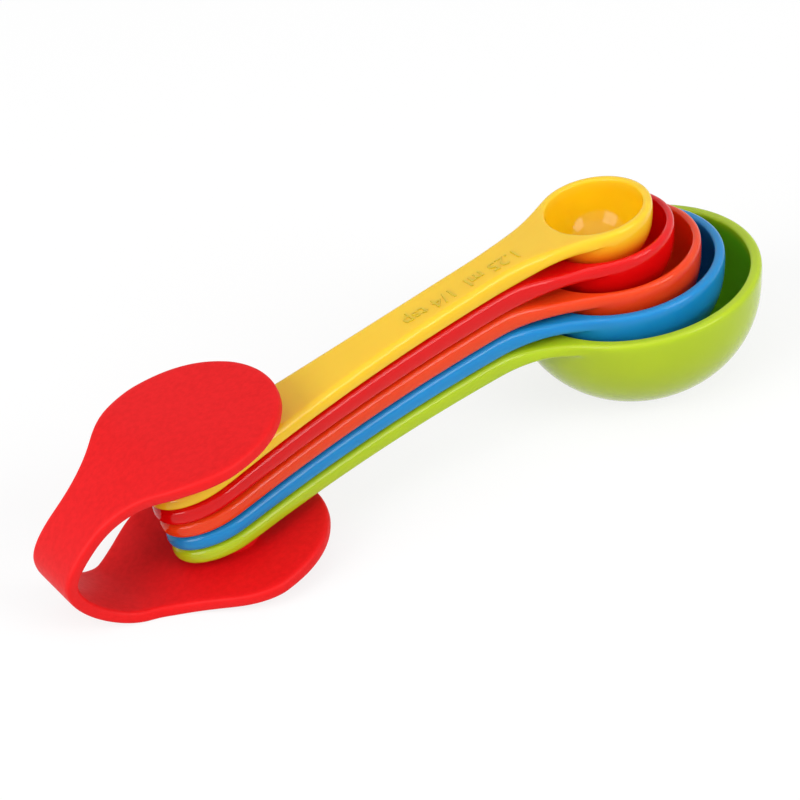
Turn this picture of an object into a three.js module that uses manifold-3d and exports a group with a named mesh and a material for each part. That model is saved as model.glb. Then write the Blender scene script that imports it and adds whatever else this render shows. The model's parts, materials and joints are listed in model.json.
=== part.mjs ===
// Set of five nested measuring spoons, held at the handle ends by a folded silicone strap.
// Units are millimetres. X runs from the strap to the bowls, Y is across, Z is up.
// The set stands on Z = 0, on the underside of the strap and the bottom of the largest bowl.

import * as THREE from "three";
import { mergeVertices } from "three/addons/utils/BufferGeometryUtils.js";
import Module from "manifold-3d";

const wasm = await Module();
wasm.setup();

const DEG = Math.PI / 180;

// Clearance between pieces that rest on each other
const GAP = 0.3;

// Spoons, from the bottom of the stack to the top. radius is the bowl's inside radius and rim
// the width of its edge. x and z place the middle of the rim, x counted from the largest bowl.
// lean is how far the rim rises towards the bowl's end, and handle is the handle's thickness.
const SPOONS = [
  { ml: 15, radius: 19.7, rim: 1.9, x: 0, lean: 6.8, handle: 2.6, colour: 0xb6c83c },
  { ml: 7.5, radius: 15.8, rim: 1.7, x: -2.6, z: 24.3, lean: 7.2, handle: 2.6, colour: 0x4096cb },
  { ml: 5, radius: 13.3, rim: 1.4, x: -4.0, z: 27.4, lean: 7.7, handle: 2.6, colour: 0xeb5832 },
  { ml: 2.5, radius: 10.4, rim: 1.3, x: -5.7, z: 31.7, lean: 8.2, handle: 2.9, colour: 0xe01e24 },
  { ml: 1.25, radius: 8.1, rim: 1.5, x: -7.4, z: 36.0, lean: 8.0, handle: 2.4, colour: 0xf7cb4a },
];
// Bowls hold their measure with this much to spare below the brim. Their section is a little
// fuller than an ellipse, whose power would be 2, and fills this share of its box.
const HEADROOM = 1.13;
const BOWL_POWER = 2.25;
const BOWL_SHARE = 0.7127;
const BOWL_WALL = 1.3;
const RIM_ROUND = 0.6;
const RIM_INNER_ROUND = 0.4;

// Handles: the top line of the stack is a shallow arch, and rises by this slope at the post
const HANDLE_SLOPE = 0.2608;
const HANDLE_ARCH = 0.00076;
// Each spoon opens by this much (radians) from the one above it
const FAN = 0.0128;
const HANDLE_HALF = 4.3;
const TIP_HALF = 6.75;
const TIP_LENGTH = 9;
const TAPER_LENGTH = 45;
// Where the handles start to widen into the bowls, and how long they take to reach rim height
const NECK_X = -31;
const NECK_LENGTH = 10;
const NECK_THICK = 2.1;
const TOP_ROUND = 0.9;
const UNDER_ROUND = 0.5;
const HOLE_RADIUS = 2.6;

// Strap: a flat ribbon with a round pad at each end, folded around a loop.
// The post leans with the handles, and the pads a little less.
const STRAP_LEAN = 13.2 * DEG;
const PAD_LEAN = 10.9 * DEG;
const STRAP_THICK = 2.2;
const STRAP_ROUND = 0.6;
const PAD_RADIUS = 15.2;
// Fillets between the pads and the narrow waist of the loop
const UPPER_FILLET = 16;
const LOWER_FILLET = 50;
const WAIST_HALF = 5.9;
// The lower arm runs off to the far side, and the loop brings it back
const LOWER_SIDE = 3.8;
const SIDE_LENGTH = 17.6;
// Twist of the lower arm: its far edge lifts, holds up to this distance, and is down again
// where the arm lies flat
const EDGE_LIFT = 3.6;
const LIFT_LENGTH = 10;
const LIFT_HOLD = 11.6;
// Middle of the lower pad's upper face, and the distance from it to the upper pad's upper face
const PAD_X = -80.5;
const PAD_Z = 4.7;
const PAD_SPACING = 24.3;
// Leftmost point of the loop's middle surface, and the lengths of the curve handles there
const LOOP_X = -109.5;
const LOOP_Z = 10.9;
const LOOP_REACH = 4.5;
// Where the ribbon lies flat on the table, and where the upper pad's bend begins
const FLAT_X = -97;
const FLAT_LENGTH = 3;
const BEND_FROM_PAD = 6;
const BEND_REACH = 6.7;
// Hinge lines of the loop, as fractions of the way around it
const HINGES = [0.1, 0.36, 0.62, 0.88];

// Fastening: a post on the lower pad through the holes, ending in a socket under the upper pad
const SHOULDER_RADIUS = 4;
const POST_RADIUS = 2;
const POST_HEIGHT = 19.8;
const SOCKET_RADIUS = 4.6;
const SOCKET_BORE = 3;
const SOCKET_DEPTH = 4.9;
// From the socket's mouth to the top handle, along the post
const SOCKET_CLEAR = 0.43;
const EMBED = 0.6;

const STRAP_COLOUR = 0xe8262a;


// Solid helpers

function solidOf(geometry) {
  const bare = geometry.clone();
  bare.deleteAttribute("normal");
  bare.deleteAttribute("uv");
  const merged = mergeVertices(bare, 1e-5);
  return new wasm.Manifold(
    new wasm.Mesh({
      numProp: 3,
      vertProperties: new Float32Array(merged.attributes.position.array),
      triVerts: new Uint32Array(merged.index.array),
    })
  );
}

function meshOf(name, solid, colour) {
  const data = solid.getMesh();
  const geometry = new THREE.BufferGeometry();
  geometry.setAttribute("position", new THREE.BufferAttribute(new Float32Array(data.vertProperties), 3));
  geometry.setIndex(new THREE.BufferAttribute(new Uint32Array(data.triVerts), 1));
  geometry.computeVertexNormals();
  const mesh = new THREE.Mesh(geometry, new THREE.MeshStandardMaterial({ color: colour, roughness: 0.35 }));
  mesh.name = name;
  return mesh;
}

// Evenly spaced values from one end to the other
function spread(from, to, steps) {
  return Array.from({ length: steps + 1 }, (_, k) => from + ((to - from) * k) / steps);
}

// Turned solid around Z from (radius, height) pairs
function turned(profile, segments) {
  const points = profile.map(([r, h]) => new THREE.Vector2(r, h));
  return new THREE.LatheGeometry(points, segments).rotateX(Math.PI / 2);
}

// Rounded rectangle across Y and along a station's normal, as [across, along] pairs
function section(half, low, high, lowRound, highRound) {
  const corners = [
    { y: half, n: high, round: highRound, from: 0 },
    { y: -half, n: high, round: highRound, from: 90 },
    { y: -half, n: low, round: lowRound, from: 180 },
    { y: half, n: low, round: lowRound, from: 270 },
  ];
  return corners.flatMap(({ y, n, round, from }) => {
    const r = Math.min(round, half * 0.8);
    return [0, 45, 90].map((step) => {
      const angle = (from + step) * DEG;
      return [y - Math.sign(y) * r + r * Math.cos(angle), n + (from < 180 ? -r : r) + r * Math.sin(angle)];
    });
  });
}

// Solid through a row of stations, each with a point, a unit normal, half widths and thicknesses
function ribbon(stations, lowRound, highRound) {
  const positions = [];
  const index = [];
  let count = 0;
  for (const { x, z, nx, nz, half, low, high, side = 0, lift = 0 } of stations) {
    const ring = section(half, low, high, lowRound, highRound);
    count = ring.length;
    for (const [across, along] of ring) {
      positions.push(x + nx * along, across + side, z + nz * along + (lift * (across / half + 1)) / 2);
    }
  }
  for (let row = 0; row + 1 < stations.length; row++) {
    for (let k = 0; k < count; k++) {
      const a = row * count + k;
      const b = row * count + ((k + 1) % count);
      index.push(a, b, a + count, b, b + count, a + count);
    }
  }
  const last = (stations.length - 1) * count;
  for (let k = 1; k + 1 < count; k++) {
    index.push(0, k + 1, k);
    index.push(last, last + k, last + k + 1);
  }
  const geometry = new THREE.BufferGeometry();
  geometry.setAttribute("position", new THREE.Float32BufferAttribute(positions, 3));
  geometry.setIndex(index);
  const solid = solidOf(geometry);
  if (solid.volume() > 0) {
    return solid;
  }
  geometry.setIndex(index.reverse());
  return solidOf(geometry);
}


// Fastening line: from the lower pad's upper face, with the lean of the handles

function postPoint(height) {
  return {
    x: PAD_X - height * Math.sin(STRAP_LEAN),
    z: PAD_Z + height * Math.cos(STRAP_LEAN),
  };
}

function alongPost(geometry) {
  return geometry.rotateY(-STRAP_LEAN).translate(PAD_X, 0, PAD_Z);
}


// Spoons

// Depth below the stack's top line at the post, for the top of the spoon at this place in the stack
function depthAtPost(place) {
  const above = SPOONS.slice(place + 1);
  return above.reduce((sum, spoon) => sum + spoon.handle + GAP, 0);
}

function stackTop(x) {
  const seat = postPoint(PAD_SPACING - STRAP_THICK - SOCKET_DEPTH - SOCKET_CLEAR);
  const d = x - seat.x;
  return seat.z + HANDLE_SLOPE * d - HANDLE_ARCH * d * d;
}

function handleTop(place, x) {
  const level = SPOONS.length - 1 - place;
  return stackTop(x) - (depthAtPost(place) + level * FAN * (x - PAD_X)) * Math.hypot(1, HANDLE_SLOPE);
}

// Middle of the round handle end: where the post crosses the handle's top
function tipX(place) {
  let x = PAD_X;
  for (let pass = 0; pass < 6; pass++) {
    x = PAD_X - (handleTop(place, x) - PAD_Z) * Math.tan(STRAP_LEAN);
  }
  return x;
}

function bowlDepth({ ml, radius }) {
  return (HEADROOM * ml * 1000) / (BOWL_SHARE * Math.PI * radius * radius);
}

// Height that rests the largest bowl on the table
function rimZ(spoon) {
  const lean = spoon.lean * DEG;
  const side = bowlSection(spoon.radius + spoon.rim, bowlDepth(spoon) + BOWL_WALL, 0, 86, 60);
  const reach = side.map(([across, up]) => across * Math.sin(lean) - up * Math.cos(lean));
  return spoon.z ?? Math.max(...reach);
}

function rimPlane(spoon, x) {
  return rimZ(spoon) + (x - spoon.x) * Math.tan(spoon.lean * DEG);
}

function smooth(t) {
  const u = Math.min(1, Math.max(0, t));
  return u * u * (3 - 2 * u);
}

// Plan of the handle: round end, taper, straight part, then a fillet into the bowl's outline
function halfWidth(spoon, tip, x) {
  if (x < tip) {
    return TIP_HALF * Math.sqrt(Math.max(0, 1 - ((x - tip) / TIP_LENGTH) ** 2));
  }
  const outer = spoon.radius + spoon.rim - 0.2;
  const reach = spoon.x - NECK_X;
  const fillet = (reach ** 2 + HANDLE_HALF ** 2 - outer ** 2) / (2 * (outer - HANDLE_HALF));
  if (x < NECK_X) {
    const taper = Math.min(1, (x - tip) / TAPER_LENGTH);
    return HANDLE_HALF + (TIP_HALF - HANDLE_HALF) * (1 - taper) ** 2;
  }
  if (x < spoon.x - (reach * outer) / (outer + fillet)) {
    return HANDLE_HALF + fillet - Math.sqrt(fillet ** 2 - (x - NECK_X) ** 2);
  }
  return Math.sqrt(outer ** 2 - (x - spoon.x) ** 2);
}

function handleStations(spoon, place) {
  const tip = tipX(place);
  const outer = spoon.radius + spoon.rim;
  const start = spoon.x - outer - NECK_LENGTH;
  const last = spoon.x - 0.55 * outer;
  const round = [82, 66, 50, 34, 17].map((angle) => tip - TIP_LENGTH * Math.sin(angle * DEG));
  const xs = [...round, ...spread(tip, start, 8).slice(0, -1), ...spread(start, last, 11)];
  return xs.map((x) => {
    const neck = smooth((x - start) / NECK_LENGTH);
    const top = handleTop(place, x) * (1 - neck) + (rimPlane(spoon, x) - 0.06) * neck;
    const thick = (spoon.handle + FAN * (x - tip)) * (1 - neck) + NECK_THICK * neck;
    return { x, z: top, nx: 0, nz: 1, half: halfWidth(spoon, tip, x), low: -thick, high: 0 };
  });
}

function bowlSection(wide, deep, from, to, steps) {
  const power = 2 / BOWL_POWER;
  return Array.from({ length: steps + 1 }, (_, k) => {
    const angle = (from + ((to - from) * k) / steps) * DEG;
    return [wide * Math.sin(angle) ** power, -deep * Math.cos(angle) ** power];
  });
}

function bowlBody(spoon, segments) {
  const outer = spoon.radius + spoon.rim;
  const side = bowlSection(outer, bowlDepth(spoon) + BOWL_WALL, 0, 84, 10);
  side[0][0] = 0;
  const edge = [0, 45, 90].map((angle) => [
    outer - RIM_ROUND + RIM_ROUND * Math.cos(angle * DEG),
    -RIM_ROUND + RIM_ROUND * Math.sin(angle * DEG),
  ]);
  return turned([...side, ...edge, [0, 0]], segments);
}

function bowlHollow(spoon, segments) {
  const side = bowlSection(spoon.radius, bowlDepth(spoon), 0, 86, 10);
  side[0][0] = 0;
  const edge = [0, 45, 90].map((angle) => [
    spoon.radius + RIM_INNER_ROUND * (1 - Math.cos(angle * DEG)),
    -RIM_INNER_ROUND * (1 - Math.sin(angle * DEG)),
  ]);
  return turned([...side, ...edge, [spoon.radius + RIM_INNER_ROUND, 5], [0, 5]], segments);
}

function onRim(spoon, geometry) {
  return solidOf(geometry.rotateY(-spoon.lean * DEG).translate(spoon.x, 0, rimZ(spoon)));
}

function spoonSolid(spoon, place) {
  const segments = spoon.radius > 12 ? 36 : 28;
  const handle = ribbon(handleStations(spoon, place), UNDER_ROUND, TOP_ROUND);
  const hole = alongPost(
    new THREE.CylinderGeometry(HOLE_RADIUS, HOLE_RADIUS, 60, 20).rotateX(Math.PI / 2)
  );
  return onRim(spoon, bowlBody(spoon, segments))
    .add(handle)
    .subtract(onRim(spoon, bowlHollow(spoon, segments)))
    .subtract(solidOf(hole));
}


// Strap

function strapPath() {
  const along = new THREE.Vector2(Math.cos(PAD_LEAN), Math.sin(PAD_LEAN));
  const square = new THREE.Vector2(-along.y, along.x);
  const middle = (height) => {
    const p = postPoint(height);
    return new THREE.Vector2(p.x, p.z).addScaledVector(square, -STRAP_THICK / 2);
  };
  const lower = middle(0);
  const upper = middle(PAD_SPACING);
  const flat = new THREE.Vector2(FLAT_X + FLAT_LENGTH / 2, STRAP_THICK / 2);
  const rise = new THREE.Vector2(FLAT_X - FLAT_LENGTH / 2, STRAP_THICK / 2);
  const bend = upper.clone().addScaledVector(along, -BEND_FROM_PAD);
  const far = new THREE.Vector2(LOOP_X, LOOP_Z);
  const path = new THREE.CurvePath();
  path.add(new THREE.CubicBezierCurve(
    lower,
    lower.clone().addScaledVector(along, -6),
    new THREE.Vector2(flat.x + 3, STRAP_THICK / 2),
    flat
  ));
  path.add(new THREE.LineCurve(flat, rise));
  path.add(new THREE.CubicBezierCurve(
    rise,
    new THREE.Vector2(rise.x - LOOP_REACH, STRAP_THICK / 2),
    new THREE.Vector2(LOOP_X, LOOP_Z - LOOP_REACH),
    far
  ));
  path.add(new THREE.CubicBezierCurve(
    far,
    new THREE.Vector2(LOOP_X, LOOP_Z + LOOP_REACH),
    bend.clone().addScaledVector(along, -BEND_REACH),
    bend
  ));
  path.add(new THREE.LineCurve(bend, upper));
  return { path, lower, upper, along };
}

const STRAP = strapPath();
const STRAP_LENGTH = STRAP.path.getLength();
// Distances along the strap: the flat stretch's two ends, and the loop from its start to its end
const LENGTHS = STRAP.path.getCurveLengths();
const [FLAT_START, FLAT_END] = LENGTHS;
const [LOOP_START, LOOP_END] = [FLAT_END, LENGTHS[3]];

// Half width at a distance from a pad's middle towards the waist
function strapHalf(distance, fillet) {
  const reach = Math.sqrt((PAD_RADIUS + fillet) ** 2 - (WAIST_HALF + fillet) ** 2);
  const touch = (reach * PAD_RADIUS) / (PAD_RADIUS + fillet);
  if (distance < touch) {
    return Math.sqrt(PAD_RADIUS ** 2 - distance ** 2);
  }
  if (distance < reach) {
    return WAIST_HALF + fillet - Math.sqrt(fillet ** 2 - (distance - reach) ** 2);
  }
  return WAIST_HALF;
}

// How far the strap lies off its middle line: only between the two pads
function strapSide(s) {
  const back = (s - FLAT_START) / (LOOP_END - FLAT_START);
  return LOWER_SIDE * smooth(s / SIDE_LENGTH) * (1 - smooth(back));
}

function strapLift(s) {
  const down = (s - LIFT_HOLD) / (FLAT_START - LIFT_HOLD);
  return EDGE_LIFT * smooth(s / LIFT_LENGTH) * (1 - smooth(down));
}

// Point, normal, half width and sideways shift at a distance from the lower pad's middle
function strapAt(s) {
  const before = Math.max(0, -s);
  const after = Math.max(0, s - STRAP_LENGTH);
  const t = Math.min(1, Math.max(0, s / STRAP_LENGTH));
  const point = STRAP.path.getPoint(t);
  const heading = STRAP.path.getTangent(t);
  if (before > 0) {
    point.addScaledVector(STRAP.along, before);
    heading.copy(STRAP.along).negate();
  }
  if (after > 0) {
    point.addScaledVector(STRAP.along, after);
    heading.copy(STRAP.along);
  }
  const half =
    s < STRAP_LENGTH / 2
      ? strapHalf(s, LOWER_FILLET)
      : strapHalf(STRAP_LENGTH - s, UPPER_FILLET);
  return {
    x: point.x,
    z: point.y,
    nx: -heading.y,
    nz: heading.x,
    half,
    side: strapSide(s),
    lift: strapLift(s),
  };
}

function strapPiece(distances) {
  const stations = distances.map((s) => ({
    ...strapAt(s),
    low: -STRAP_THICK / 2,
    high: STRAP_THICK / 2,
  }));
  return ribbon(stations, STRAP_ROUND, STRAP_ROUND);
}

// Distance along the strap of each hinge line
function hingeDistance(fraction) {
  return LOOP_START + (LOOP_END - LOOP_START) * fraction;
}

function padDistances() {
  return [84, 70, 56, 42, 28, 14, 0].map((angle) => -PAD_RADIUS * Math.sin(angle * DEG));
}

function strapBase() {
  const end = hingeDistance(HINGES[0]) - GAP / 2;
  const arm = [...spread(0, FLAT_START, 10).slice(1), ...spread(FLAT_END, end, 2)];
  const pad = strapPiece([...padDistances(), ...arm]);
  const seat = handleTop(0, PAD_X) - SPOONS[0].handle;
  const shoulder = (seat - PAD_Z) * Math.cos(STRAP_LEAN) - 2 * GAP;
  const profile = [
    [0, -EMBED],
    [SHOULDER_RADIUS, -EMBED],
    [SHOULDER_RADIUS, shoulder],
    [POST_RADIUS, shoulder],
    [POST_RADIUS, POST_HEIGHT - 0.8],
    [POST_RADIUS - 0.8, POST_HEIGHT],
    [0, POST_HEIGHT],
  ];
  return pad.add(solidOf(alongPost(turned(profile, 24))));
}

function strapFlap() {
  const start = hingeDistance(HINGES[3]) + GAP / 2;
  const round = padDistances().map((d) => STRAP_LENGTH - d).reverse();
  const pad = strapPiece([...spread(start, STRAP_LENGTH, 8).slice(0, -1), ...round]);
  const under = PAD_SPACING - STRAP_THICK;
  const profile = [
    [0, under - EMBED],
    [SOCKET_BORE, under - EMBED],
    [SOCKET_BORE, under - SOCKET_DEPTH],
    [SOCKET_RADIUS, under - SOCKET_DEPTH],
    [SOCKET_RADIUS, under + EMBED],
    [0, under + EMBED],
  ];
  return pad.add(solidOf(alongPost(turned(profile, 24))));
}

function strapLink(number) {
  const start = hingeDistance(HINGES[number]) + GAP / 2;
  const end = hingeDistance(HINGES[number + 1]) - GAP / 2;
  return strapPiece(spread(start, end, 6));
}


// Assembly

function build() {
  const pieces = SPOONS.map((spoon, place) => [
    `spoon_${String(spoon.ml).replace(".", "_")}ml`,
    spoonSolid(spoon, place),
    spoon.colour,
  ]);
  pieces.push(["strap_base", strapBase(), STRAP_COLOUR]);
  for (let number = 0; number < 3; number++) {
    pieces.push([`strap_link_${number + 1}`, strapLink(number), STRAP_COLOUR]);
  }
  pieces.push(["strap_flap", strapFlap(), STRAP_COLOUR]);
  return pieces;
}

// The origin is under the middle of the set
function centred(pieces) {
  const box = new THREE.Box3();
  for (const [, solid] of pieces) {
    const { min, max } = solid.boundingBox();
    box.expandByPoint(new THREE.Vector3(...min));
    box.expandByPoint(new THREE.Vector3(...max));
  }
  const middle = box.getCenter(new THREE.Vector3());
  return pieces.map(([name, solid, colour]) => [
    name,
    solid.translate([-middle.x, -middle.y, -box.min.z]),
    colour,
  ]);
}

const set = new THREE.Group();
set.name = "measuring_spoon_set";
for (const [name, solid, colour] of centred(build())) {
  set.add(meshOf(name, solid, colour));
}

export default set;
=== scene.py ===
# %% [markdown]
# # Five nested measuring spoons on a silicone strap
# The set is five glossy plastic spoons, one in another, and a soft red strap that holds them by
# their handle ends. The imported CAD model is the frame: it says where everything is and how it
# moves. This script dresses it with finer shapes and finishes. The sizes are in millimetres and
# the same as in the part's source, except that the strap's far edge is curled more softly.

# %% Load the frame
import json
from math import acos, atan2, ceil, cos, hypot, pi, radians, sin, sqrt, tan
import bpy
import bmesh
from mathutils import Matrix, Vector


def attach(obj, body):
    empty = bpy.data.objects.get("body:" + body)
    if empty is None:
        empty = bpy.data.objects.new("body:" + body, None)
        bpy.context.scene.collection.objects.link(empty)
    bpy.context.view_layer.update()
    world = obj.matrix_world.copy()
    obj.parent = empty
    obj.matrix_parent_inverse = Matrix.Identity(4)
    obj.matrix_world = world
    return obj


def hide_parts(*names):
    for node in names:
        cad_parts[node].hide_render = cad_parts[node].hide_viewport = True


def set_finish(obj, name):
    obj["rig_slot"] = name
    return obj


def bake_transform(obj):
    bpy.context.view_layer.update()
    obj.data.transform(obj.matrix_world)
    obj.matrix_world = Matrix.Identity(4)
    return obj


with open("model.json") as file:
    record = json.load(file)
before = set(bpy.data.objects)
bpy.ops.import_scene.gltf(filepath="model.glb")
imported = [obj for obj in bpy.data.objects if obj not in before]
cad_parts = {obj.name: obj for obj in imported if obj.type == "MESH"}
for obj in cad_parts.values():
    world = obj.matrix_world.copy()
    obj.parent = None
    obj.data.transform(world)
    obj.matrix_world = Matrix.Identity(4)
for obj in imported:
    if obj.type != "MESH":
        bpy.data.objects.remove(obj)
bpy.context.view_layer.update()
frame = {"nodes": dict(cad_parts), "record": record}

# %% [markdown]
# ## The sizes
# Each spoon is a bowl on a long handle. `x` and `z` place the middle of the bowl's rim, `lean` is
# how steeply the rim rises towards the bowl's end, and `handle` is the handle's thickness. The
# first spoon is the lowest, and its height follows from the table that it stands on.

# %% Sizes of the spoons and the strap
SPOONS = [
    dict(ml=15, radius=19.7, rim=1.9, x=0.0, z=None, lean=6.8, handle=2.6, slot="green_plastic"),
    dict(ml=7.5, radius=15.8, rim=1.7, x=-2.6, z=24.3, lean=7.2, handle=2.6, slot="blue_plastic"),
    dict(ml=5, radius=13.3, rim=1.4, x=-4.0, z=27.4, lean=7.7, handle=2.6, slot="orange_plastic"),
    dict(ml=2.5, radius=10.4, rim=1.3, x=-5.7, z=31.7, lean=8.2, handle=2.9, slot="red_plastic"),
    dict(ml=1.25, radius=8.1, rim=1.5, x=-7.4, z=36.0, lean=8.0, handle=2.4, slot="yellow_plastic"),
]
# Bowls: room above the measure, power and share of the section's curve, thickness of the wall
HEADROOM, BOWL_POWER, BOWL_SHARE = 1.13, 2.25, 0.7127
BOWL_WALL = 1.3
# Handles: gap between two, slope and arch of the stack, opening between two spoons, outline
GAP = 0.3
HANDLE_SLOPE, HANDLE_ARCH, FAN = 0.2608, 0.00076, 0.0128
HANDLE_HALF, TIP_HALF, TIP_LENGTH, TAPER_LENGTH = 4.3, 6.75, 9.0, 45.0
NECK_X, NECK_LENGTH, NECK_THICK = -31.0, 10.0, 2.1
# Strap: lean of the post and of the pads, outline, and places along the folded line
STRAP_LEAN, PAD_LEAN = radians(13.2), radians(10.9)
STRAP_THICK, PAD_RADIUS, WAIST_HALF = 2.2, 15.2, 5.9
UPPER_FILLET, LOWER_FILLET = 16.0, 50.0
PAD_X, PAD_Z, PAD_SPACING = -80.5, 4.7, 24.3
LOOP_X, LOOP_Z, LOOP_REACH = -109.5, 10.9, 4.5
FLAT_X, FLAT_LENGTH, BEND_FROM_PAD, BEND_REACH = -97.0, 3.0, 6.0, 6.7
ARM_REACH, FLAT_REACH = 6.0, 3.0
# Lower arm: how far it runs off to the side, and how its far edge curls up
LOWER_SIDE, SIDE_LENGTH = 3.8, 17.6
EDGE_LIFT, LIFT_START, LIFT_FULL, LIFT_HOLD, LIFT_END = 4.5, -3.5, 9.0, 10.0, 20.0
LIFT_POWER = 1.6
# How far the strap's fine skin stays inside the CAD model's
STRAP_INSET = 0.05
# Fastening: the post, its shoulder, the holes, the socket under the upper pad, and how deep both
# sit in their pads
POST_HEIGHT, POST_RADIUS, SHOULDER_RADIUS, HOLE_RADIUS = 19.8, 2.0, 4.0, 2.6
SOCKET_RADIUS, SOCKET_BORE, SOCKET_DEPTH, SOCKET_CLEAR = 4.6, 3.0, 4.9, 0.43
EMBED = 0.6

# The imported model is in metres, with its origin under the middle of the set
TO_FRAME = Matrix.Translation((0.0444403, 0, 0)) @ Matrix.Scale(0.001, 4)

# Steps in everything that is turned once around an axis
TURN_STEPS = 48


def name_of(spoon):
    return "spoon_" + f"{spoon['ml']:g}".replace(".", "_") + "ml"


print("spoons:", [name_of(spoon) for spoon in SPOONS])

# %% [markdown]
# ## Lines that the spoons follow
# The handles lie on each other. Their tops are one shallow arch, seen from the side, and each
# spoon opens a little from the one above it. Near the bowl a handle swings up to the rim.

# %% Heights along the handles
def smooth(t):
    """0 below 0, 1 above 1, and a soft rise between them."""
    t = min(1.0, max(0.0, t))
    return t * t * (3 - 2 * t)


def post_point(height):
    """The post's middle, as (x, z), this far up along it."""
    return PAD_X - height * sin(STRAP_LEAN), PAD_Z + height * cos(STRAP_LEAN)


def stack_top(x):
    """Height of the uppermost handle's top."""
    seat_x, seat_z = post_point(PAD_SPACING - STRAP_THICK - SOCKET_DEPTH - SOCKET_CLEAR)
    d = x - seat_x
    return seat_z + HANDLE_SLOPE * d - HANDLE_ARCH * d * d


def handle_top(place, x):
    """Height of this handle's top at x, away from the bowl."""
    above = sum(spoon["handle"] + GAP for spoon in SPOONS[place + 1:])
    level = len(SPOONS) - 1 - place
    return stack_top(x) - (above + level * FAN * (x - PAD_X)) * hypot(1, HANDLE_SLOPE)


def tip_x(place):
    """Where the post passes through this handle's top."""
    x = PAD_X
    # A few rounds come close enough, since the handles slope so little
    for _ in range(6):
        x = PAD_X - (handle_top(place, x) - PAD_Z) * tan(STRAP_LEAN)
    return x


def bowl_depth(spoon):
    """Depth at which the bowl holds its measure with some room above it."""
    return HEADROOM * spoon["ml"] * 1000 / (BOWL_SHARE * pi * spoon["radius"] ** 2)


def rim_height(spoon, x):
    """Height of the rim's plane above the table at x."""
    lean = radians(spoon["lean"])
    wide = (spoon["radius"] + spoon["rim"]) * sin(lean)
    deep = (bowl_depth(spoon) + BOWL_WALL) * cos(lean)
    power = BOWL_POWER / (BOWL_POWER - 1)
    middle = spoon["z"] or (wide ** power + deep ** power) ** (1 / power)
    return middle + (x - spoon["x"]) * tan(lean)


def neck_share(spoon, x):
    """0 along the handle, rising to 1 where it has reached the height of the rim."""
    return smooth((x - (spoon["x"] - spoon["radius"] - spoon["rim"] - NECK_LENGTH)) / NECK_LENGTH)


def top_height(spoon, place, x):
    """Height of a spoon's top at x, from the handle's end up to the rim."""
    neck = neck_share(spoon, x)
    return handle_top(place, x) * (1 - neck) + rim_height(spoon, x) * neck


for place, spoon in enumerate(SPOONS):
    print(name_of(spoon), "bowl depth", round(bowl_depth(spoon), 2),
          "handle end at x", round(tip_x(place), 2))

# %% [markdown]
# ## The bowls
# A moulded bowl is half a ball, a little fuller than an ellipse in section, with a rounded edge.
# It could be sculpted from a sphere, but half of its cross-section turned once around its axis
# gives clean rings, and the rings near the edge can be picked out later. Every corner of the
# section that the handle grows from gets a row number, and the turning copies that number around
# the bowl.

# %% Turn the cross-section of a bowl
STEP = 2 * pi / TURN_STEPS
SIDE_STEPS = 9
# Inner edge as (out from the inside, height), and outer edge as insets and drops, row by row
LIP = [(0.0, -0.4), (0.12, -0.12), (0.4, 0.0), (0.55, 0.0)]
LIP_DROP, LAND_INSET = 0.9, 0.75
EDGE_INSETS = [0.6, 0.18, 0.0, 0.02, 0.1]
EDGE_DROPS = [0.0, 0.18, 0.6, 1.4, 2.1]


def bowl_side(wide, deep, drop):
    """Side of a bowl, as (radius, height, 0), from its middle to this far below the rim."""
    last = acos((drop / deep) ** (BOWL_POWER / 2))
    power = 2 / BOWL_POWER
    angles = [last * k / SIDE_STEPS for k in range(SIDE_STEPS + 1)]
    return [(wide * sin(angle) ** power, -deep * cos(angle) ** power, 0) for angle in angles]


def bowl_section(spoon):
    """Half section as (radius, height, row), from the inside's middle over the edge to the
    underside's middle."""
    inner, outer = spoon["radius"], spoon["radius"] + spoon["rim"]
    depth = bowl_depth(spoon)
    inside = bowl_side(inner, depth, LIP_DROP)
    land = [(inner + out, height, 0) for out, height in LIP] + [(outer - LAND_INSET, 0, 0)]
    edge = [(outer - inset, -drop, row)
            for row, (inset, drop) in enumerate(zip(EDGE_INSETS, EDGE_DROPS), start=1)]
    under = bowl_side(outer, depth + BOWL_WALL, EDGE_DROPS[-1])[-2::-1]
    return inside + land + edge + under


def spin_line(bm, line):
    """Turns a line of corners once around the upright axis."""
    sides = [bm.edges.new(pair) for pair in zip(line, line[1:])]
    bmesh.ops.spin(bm, geom=line + sides, cent=(0, 0, 0), axis=(0, 0, 1), angle=2 * pi,
                   steps=TURN_STEPS, use_merge=True)
    bmesh.ops.remove_doubles(bm, verts=bm.verts, dist=1e-4)


def turn_bowl(spoon):
    bm = bmesh.new()
    row = bm.verts.layers.int.new("row")
    line = []
    for radius, height, number in bowl_section(spoon):
        corner = bm.verts.new((-radius, 0, height))
        corner[row] = number
        line.append(corner)
    spin_line(bm, line)
    bmesh.ops.recalc_face_normals(bm, faces=bm.faces)
    return bm


def counts(bm):
    return f"{len(bm.faces)} faces, {sum(not edge.is_manifold for edge in bm.edges)} open edges"


test = turn_bowl(SPOONS[0])
print("one bowl:", counts(test))
test.free()

# %% [markdown]
# ## Growing the handle out of the bowl
# On the real spoon the handle and the bowl are one moulding, with a soft fillet where they meet.
# Joining two solids would leave a crease there. Here the faces of the edge that look at the strap
# are extruded again and again along the handle, so the rings of the bowl run on into its sides.

# %% Extrude a patch of faces through a list of places
def parts_of(faces):
    """The faces with their edges and corners, as extruding a region needs them."""
    edges = {edge for face in faces for edge in face.edges}
    corners = {corner for face in faces for corner in face.verts}
    return list(faces) + list(edges) + list(corners)


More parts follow.
